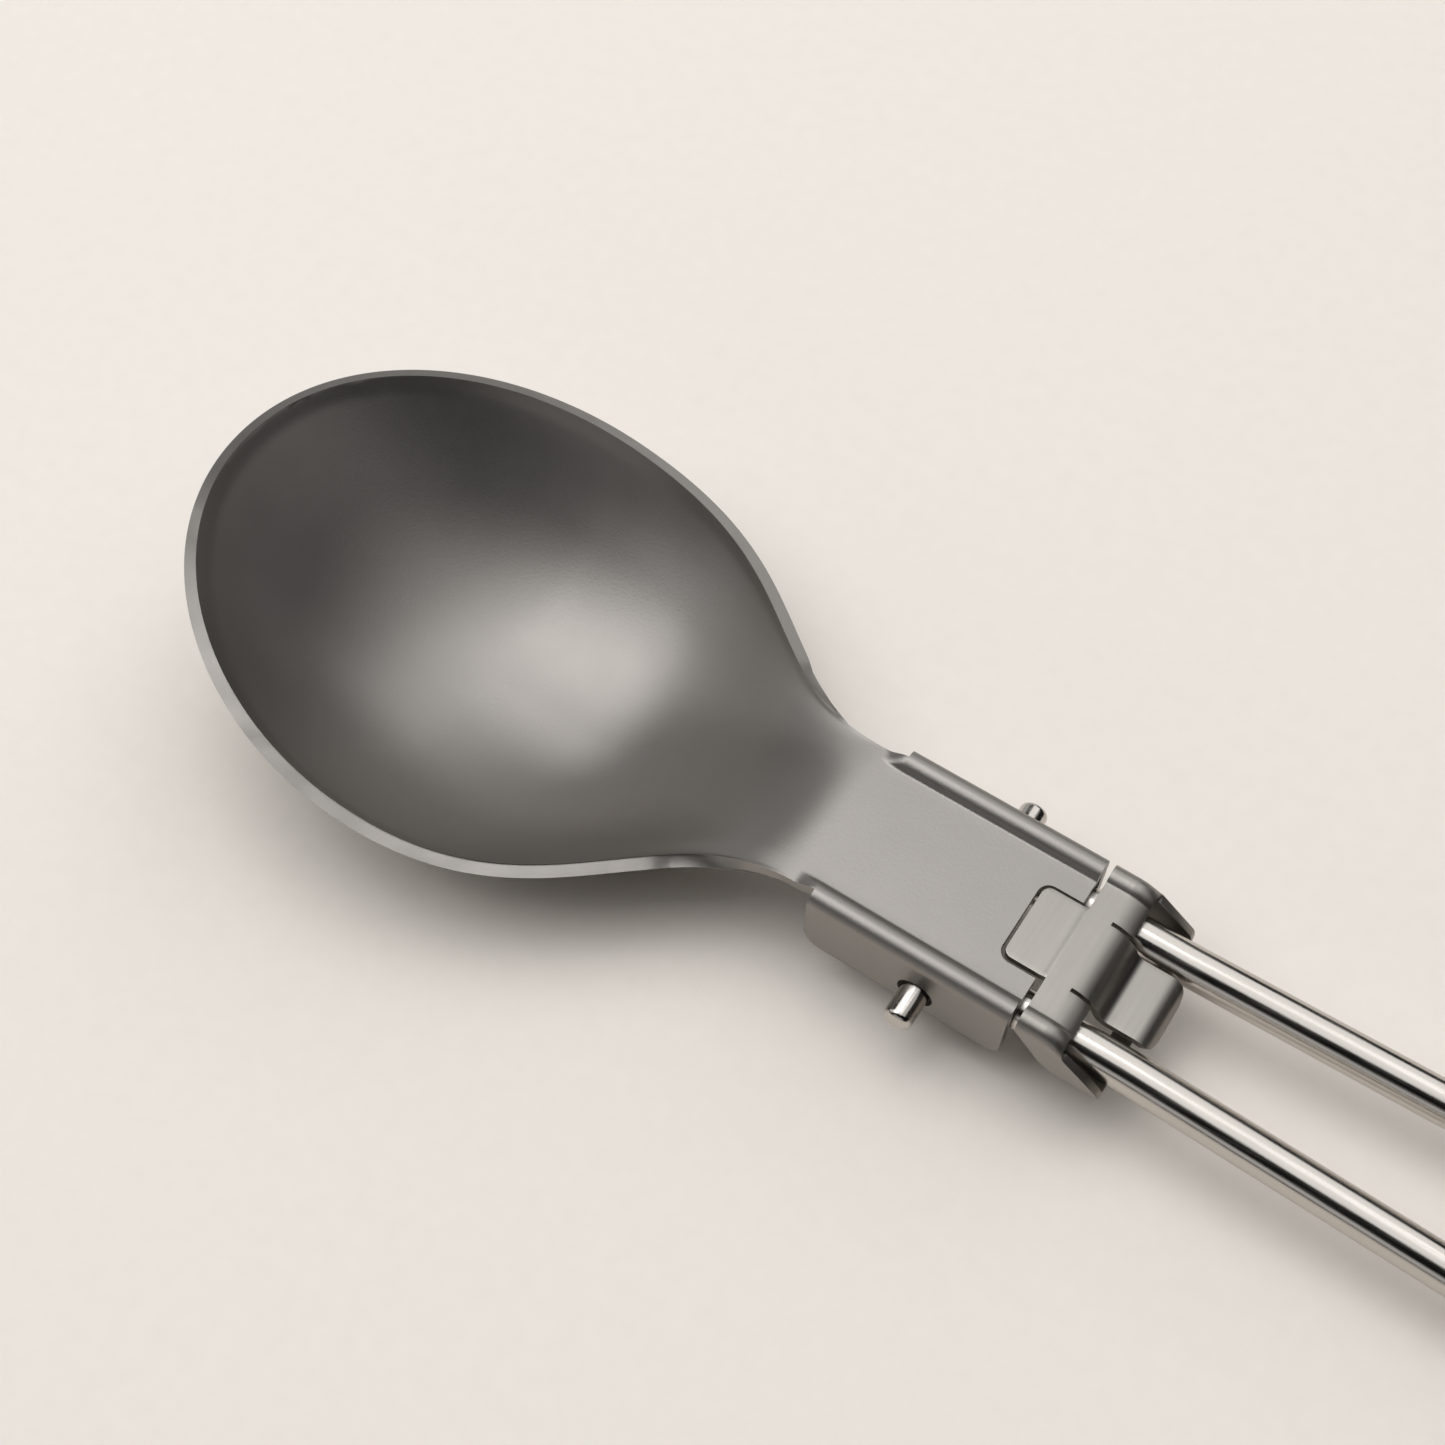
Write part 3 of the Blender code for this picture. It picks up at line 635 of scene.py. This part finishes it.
def wire_points():
    """The wire's centre line as (x, y, z, radius), from one pin round to the other."""
    wire, pin = WIRE_DIAMETER / 2, PIN_DIAMETER / 2
    tip = HALF_CHANNEL + PIN_REACH
    half = []
    for step in range(DOME_STEPS + 1):
        angle = math.pi / 2 * step / DOME_STEPS
        back = PIN_DOME * (1 - math.cos(angle))
        half.append((0, tip - back, 0, pin - PIN_DOME * (1 - math.sin(angle))))
    turn = trace((ROD_OFFSET + WIRE_BEND, 0), 180.0, [("arc", WIRE_BEND, -90.0)])
    for index, (y, x) in enumerate(turn):
        half.append((x, y, 0, pin + (wire - pin) * min(index / TAPER_STEPS, 1)))
    rise_start, rise_end = WIRE_BEND, PLATE_REAR
    for step in range(1, RISE_STEPS + 1):
        share = step / RISE_STEPS
        height = ROD_HEIGHT * blend(share)
        half.append((rise_start + (rise_end - rise_start) * share, ROD_OFFSET, height, wire))
    run = trace((FLARE_START, ROD_OFFSET), 0.0, [("arc", FLARE_RADIUS, FLARE_ANGLE)])
    half += [(x, y, ROD_HEIGHT, wire) for x, y in run]
    far_x, far_y = run[-1]
    flare = math.radians(FLARE_ANGLE)
    end = HANDLE_LENGTH - wire
    spread = math.cos(flare) + math.tan(flare) * (1 + math.sin(flare))
    loop = (far_y + (end - far_x) * math.tan(flare)) / spread
    start = 90.0 + FLARE_ANGLE
    steps = round(start / LOOP_STEP)
    for step in range(steps + 1):
        angle = math.radians(start * (1 - step / steps))
        x = end - loop + loop * math.cos(angle)
        half.append((x, loop * math.sin(angle), ROD_HEIGHT, wire))
    return half + [(x, -y, z, radius) for x, y, z, radius in reversed(half[:-1])]


# Polished titanium wire: bright, with drawing lines along the wire. Real ones are too
# fine to show, so they are drawn wider.
WIRE_COLOUR = "#C2BDB7"
WIRE_ROUGHNESS = 0.2
LINE_ROUGHNESS = 0.04
LINE_LENGTH = 17.0
LINE_WIDTH = 0.17

polished, tree, shader = new_material("polished_titanium_wire", WIRE_COLOUR, 1.0, WIRE_ROUGHNESS)
place = add_node(tree, "ShaderNodeTexCoord").outputs["Object"]
stretch = [1 / (size * MM) for size in (LINE_LENGTH, LINE_WIDTH, LINE_WIDTH)]
drawn = add_node(tree, "ShaderNodeMapping", {"Vector": place, "Scale": stretch})
lines = add_node(tree, "ShaderNodeTexNoise", {"Vector": drawn.outputs["Vector"], "Scale": 1.0})
rough = add_node(tree, "ShaderNodeMapRange", {
    **NOISE_SPAN, "Value": lines.outputs["Fac"],
    "To Min": WIRE_ROUGHNESS - LINE_ROUGHNESS, "To Max": WIRE_ROUGHNESS + LINE_ROUGHNESS,
})
tree.links.new(rough.outputs["Result"], shader.inputs["Roughness"])

curve = bpy.data.curves.new("wire", "CURVE")
curve.dimensions = "3D"
curve.bevel_depth = 1.0
curve.bevel_resolution = WIRE_RESOLUTION
curve.use_fill_caps = True
points = wire_points()
spline = curve.splines.new("POLY")
spline.points.add(len(points) - 1)
for spot, (x, y, z, radius) in zip(spline.points, points):
    spot.co = (x, y, z, 1.0)
    spot.radius = radius
wire = bpy.data.objects.new("bent_wire", curve)
bpy.context.scene.collection.objects.link(wire)
settle(wire, "handle", "wire_handle", polished)


# Sleeve
# A band of titanium sheet, 0.6 mm thick, folded round both rods with its sides raked
# backward. A tongue ahead of it drops into the notch of the neck plate, and a thumb tab
# behind it bends down between the rods to a small shelf and a turned-down lip.
SLEEVE_SHEET = 0.6
SLEEVE_GAP = 0.5
BAND_LENGTH = 3.4
BAND_RISE = 0.3
TONGUE_DROP = 0.1
FRONT_UPRIGHT = 1.7
REAR_UPRIGHT = 0.9
RAKE_ANGLE = 37.0
REAR_LIP = 1.5
SLEEVE_CORNER = 2.3
TONGUE_LENGTH = 2.7
TONGUE_WIDTH = 6.0
TONGUE_ROUND = 0.6
TAB_WIDTH = 5.4
TAB_START = 1.6
TAB_TOP_RADIUS = 2.6
TAB_TURN = 66.0
TAB_FOOT_RADIUS = 0.8
TAB_SHELF = 1.8
TAB_LIP_RADIUS = 1.5
TAB_LIP_TURN = 65.0
TAB_LIP_END = 0.3
TAB_ROUND = 1.2
BAND_EASE = 0.5
BAND_ROWS = 12
ROLL_ROWS = 3
FLAT_STEPS = 8
CREASE_STEPS = 4
TONGUE_STEPS = 12

SLEEVE_FRONT = PLATE_REAR + SLEEVE_GAP
SLEEVE_BOTTOM = ROD_HEIGHT - WIRE_DIAMETER / 2 - WIRE_GAP - SLEEVE_SHEET
BAND_TOP = PLATE_TOP + BAND_RISE
CREST_TOP = PLATE_TOP + SHOULDER_RISE
RAKE = math.tan(math.radians(RAKE_ANGLE))


def sleeve_section():
    """The sleeve's outer section as closed (y, z), from the middle of its top round."""
    drop = math.degrees(math.acos(1 - (CREST_TOP - BAND_TOP) / (SHOULDER_RADIUS + WIRE_GAP)))
    upright = CREST_TOP - SHOULDER_RADIUS - SLEEVE_CORNER - SLEEVE_BOTTOM
    half = trace((0.0, SLEEVE_BOTTOM), 0.0, [
        ("line", HALF_CHANNEL - SLEEVE_CORNER),
        ("arc", SLEEVE_CORNER, 90.0),
        ("line", upright),
        ("arc", SHOULDER_RADIUS, 90.0 + drop),
        ("arc", WIRE_GAP, -drop),
    ])
    crease = half[-1][0]
    tongue = TONGUE_WIDTH / 2
    inner = [(TAB_WIDTH / 2 * step / FLAT_STEPS, BAND_TOP) for step in range(FLAT_STEPS + 1)]
    for step in range(CREASE_STEPS):
        inner.append((tongue + (crease - tongue) * step / CREASE_STEPS, BAND_TOP))
    foot = [(half[1][0] * step / FLAT_STEPS, SLEEVE_BOTTOM) for step in range(FLAT_STEPS)]
    side = inner + list(reversed(half[1:])) + list(reversed(foot))
    return side + [(-y, z) for y, z in reversed(side[1:-1])]


def front_edge(z):
    """Place of the band's front edge at a height: upright above, raked backward below."""
    below = CREST_TOP - FRONT_UPRIGHT - z
    bent = below + math.sqrt(below**2 + BAND_EASE**2)
    return SLEEVE_FRONT + bent / 2 / RAKE


def rear_edge(z):
    """Place of the band's rear edge at a height, with its lower lip drawn back."""
    end = SLEEVE_FRONT + (CREST_TOP - FRONT_UPRIGHT - SLEEVE_BOTTOM) / RAKE + REAR_LIP
    below = CREST_TOP - REAR_UPRIGHT - z
    bent = below + math.sqrt(below**2 + BAND_EASE**2)
    over = SLEEVE_FRONT + BAND_LENGTH + bent / 2 / RAKE - end
    return end + over / 2 - math.sqrt(over**2 + BAND_EASE**2) / 2


def round_end(distance, radius, half):
    """Half width of a strip at a distance from its end, with both corners rounded."""
    inset = radius - min(distance, radius)
    return half - radius + math.sqrt(radius**2 - inset**2)


def sleeve_sheet():
    """The sleeve's outer surface: a ring drawn along the rods, with tongue and tab."""
    section = sleeve_section()
    tab_x = SLEEVE_FRONT + BAND_LENGTH - TAB_START
    shape = bmesh.new()
    ring = [shape.verts.new((0, y, z)) for y, z in section]
    edges = [shape.edges.new(pair) for pair in zip(ring, ring[1:] + ring[:1])]
    top_rows = eased(0.0, tab_x - SLEEVE_FRONT, BAND_ROWS - ROLL_ROWS)
    top_rows += [top_rows[-1] + TAB_START * step / ROLL_ROWS for step in range(1, ROLL_ROWS + 1)]
    for row, share in enumerate(eased(0.0, 1.0, BAND_ROWS)):
        if row:
            points, edges = drawn_out(shape, edges)
        else:
            points = ring
        for vert in points:
            y, z = vert.co.y, vert.co.z
            front, rear = front_edge(z), rear_edge(z)
            top_share = top_rows[row] / top_rows[-1]
            fade = blend((z - SLEEVE_BOTTOM) / (BAND_TOP - SLEEVE_BOTTOM) * 2 - 1)
            vert.co.x = front + (rear - front) * (share + (top_share - share) * fade)
    bmesh.ops.delete(shape, context="FACES_ONLY", geom=[
        face for face in shape.faces
        if abs(face.calc_center_median().y) < TONGUE_WIDTH / 2
        and face.calc_center_median().z > BAND_TOP - SLEEVE_SHEET / 2
        and face.calc_center_median().x > tab_x
    ])
    loose = [edge for edge in shape.edges if not edge.link_faces]
    bmesh.ops.delete(shape, context="EDGES", geom=loose)

    def border(x, half):
        """The free edges across the top of the sheet at x, out to half its width."""
        return [
            edge for edge in shape.edges
            if edge.is_boundary and all(
                abs(vert.co.x - x) < EDGE_ROUND / 2 and abs(vert.co.y) < half + NEAR
                and vert.co.z > BAND_TOP - SLEEVE_SHEET / 2 for vert in edge.verts
            )
        ]

    edges = border(tab_x, TAB_WIDTH / 2)
    path = trace((tab_x, BAND_TOP), 0.0, [
        ("arc", TAB_TOP_RADIUS, -TAB_TURN),
        ("arc", TAB_FOOT_RADIUS, TAB_TURN),
        ("line", TAB_SHELF / 2),
        ("line", TAB_SHELF / 2),
        ("arc", TAB_LIP_RADIUS, -TAB_LIP_TURN),
        ("line", TAB_LIP_END),
    ])
    lengths = [0.0]
    for before, after in zip(path, path[1:]):
        lengths.append(lengths[-1] + math.dist(before, after))
    for (x, z), length in list(zip(path, lengths))[1:]:
        points, edges = drawn_out(shape, edges)
        half = round_end(lengths[-1] - length, TAB_ROUND, TAB_WIDTH / 2)
        for vert in points:
            vert.co.x, vert.co.z = x, z
            vert.co.y = math.copysign(min(abs(vert.co.y), half), vert.co.y)

    edges = border(front_edge(BAND_TOP), TONGUE_WIDTH / 2)
    front = PLATE_REAR - TONGUE_LENGTH
    start = front_edge(BAND_TOP)
    for x in eased(start, front, TONGUE_STEPS)[1:]:
        points, edges = drawn_out(shape, edges)
        half = round_end(x - front, TONGUE_ROUND, TONGUE_WIDTH / 2)
        for vert in points:
            vert.co.x = x
            vert.co.z = BAND_TOP - TONGUE_DROP * blend((start - x) / (SLEEVE_FRONT - PLATE_REAR))
            vert.co.y = math.copysign(min(abs(vert.co.y), half), vert.co.y)
    for vert in shape.verts:
        beyond = vert.co.x - tab_x
        if beyond > 0 and abs(vert.co.y) > TAB_WIDTH / 2 + NEAR:
            fade = blend((vert.co.z - CREST_TOP) / SLEEVE_CORNER + 1)
            beyond = min(beyond, TAB_START)
            vert.co.z -= fade * (TAB_TOP_RADIUS - math.sqrt(TAB_TOP_RADIUS**2 - beyond**2))
    bmesh.ops.remove_doubles(shape, verts=shape.verts, dist=EDGE_ROUND / 100)
    bmesh.ops.recalc_face_normals(shape, faces=shape.faces)
    top = max(shape.faces, key=lambda face: face.calc_center_median().z)
    if top.normal.z < 0:
        bmesh.ops.reverse_faces(shape, faces=shape.faces)
    return shape


# Brushed titanium sheet: satin, a little brighter than the blasted head, with the marks
# of a belt across the band. Real ones are too fine to show, so they are drawn wider.
BRUSHED_COLOUR = "#96928D"
BRUSHED_ROUGHNESS = 0.4
MARK_ROUGHNESS = 0.04
MARK_LENGTH = 6.2
MARK_WIDTH = 0.2

brushed, tree, shader = new_material("brushed_titanium", BRUSHED_COLOUR, 1.0, BRUSHED_ROUGHNESS)
place = add_node(tree, "ShaderNodeTexCoord").outputs["Object"]
stretch = [1 / (size * MM) for size in (MARK_WIDTH, MARK_LENGTH, MARK_WIDTH)]
belt = add_node(tree, "ShaderNodeMapping", {"Vector": place, "Scale": stretch})
marks = add_node(tree, "ShaderNodeTexNoise", {"Vector": belt.outputs["Vector"], "Scale": 1.0})
rough = add_node(tree, "ShaderNodeMapRange", {
    **NOISE_SPAN, "Value": marks.outputs["Fac"],
    "To Min": BRUSHED_ROUGHNESS - MARK_ROUGHNESS, "To Max": BRUSHED_ROUGHNESS + MARK_ROUGHNESS,
})
tree.links.new(rough.outputs["Result"], shader.inputs["Roughness"])

sleeve = new_object("folded_sleeve", sleeve_sheet())
thicken(sleeve, SLEEVE_SHEET)
settle(sleeve, "sleeve", "locking_sleeve", brushed)

bpy.context.view_layer.update()
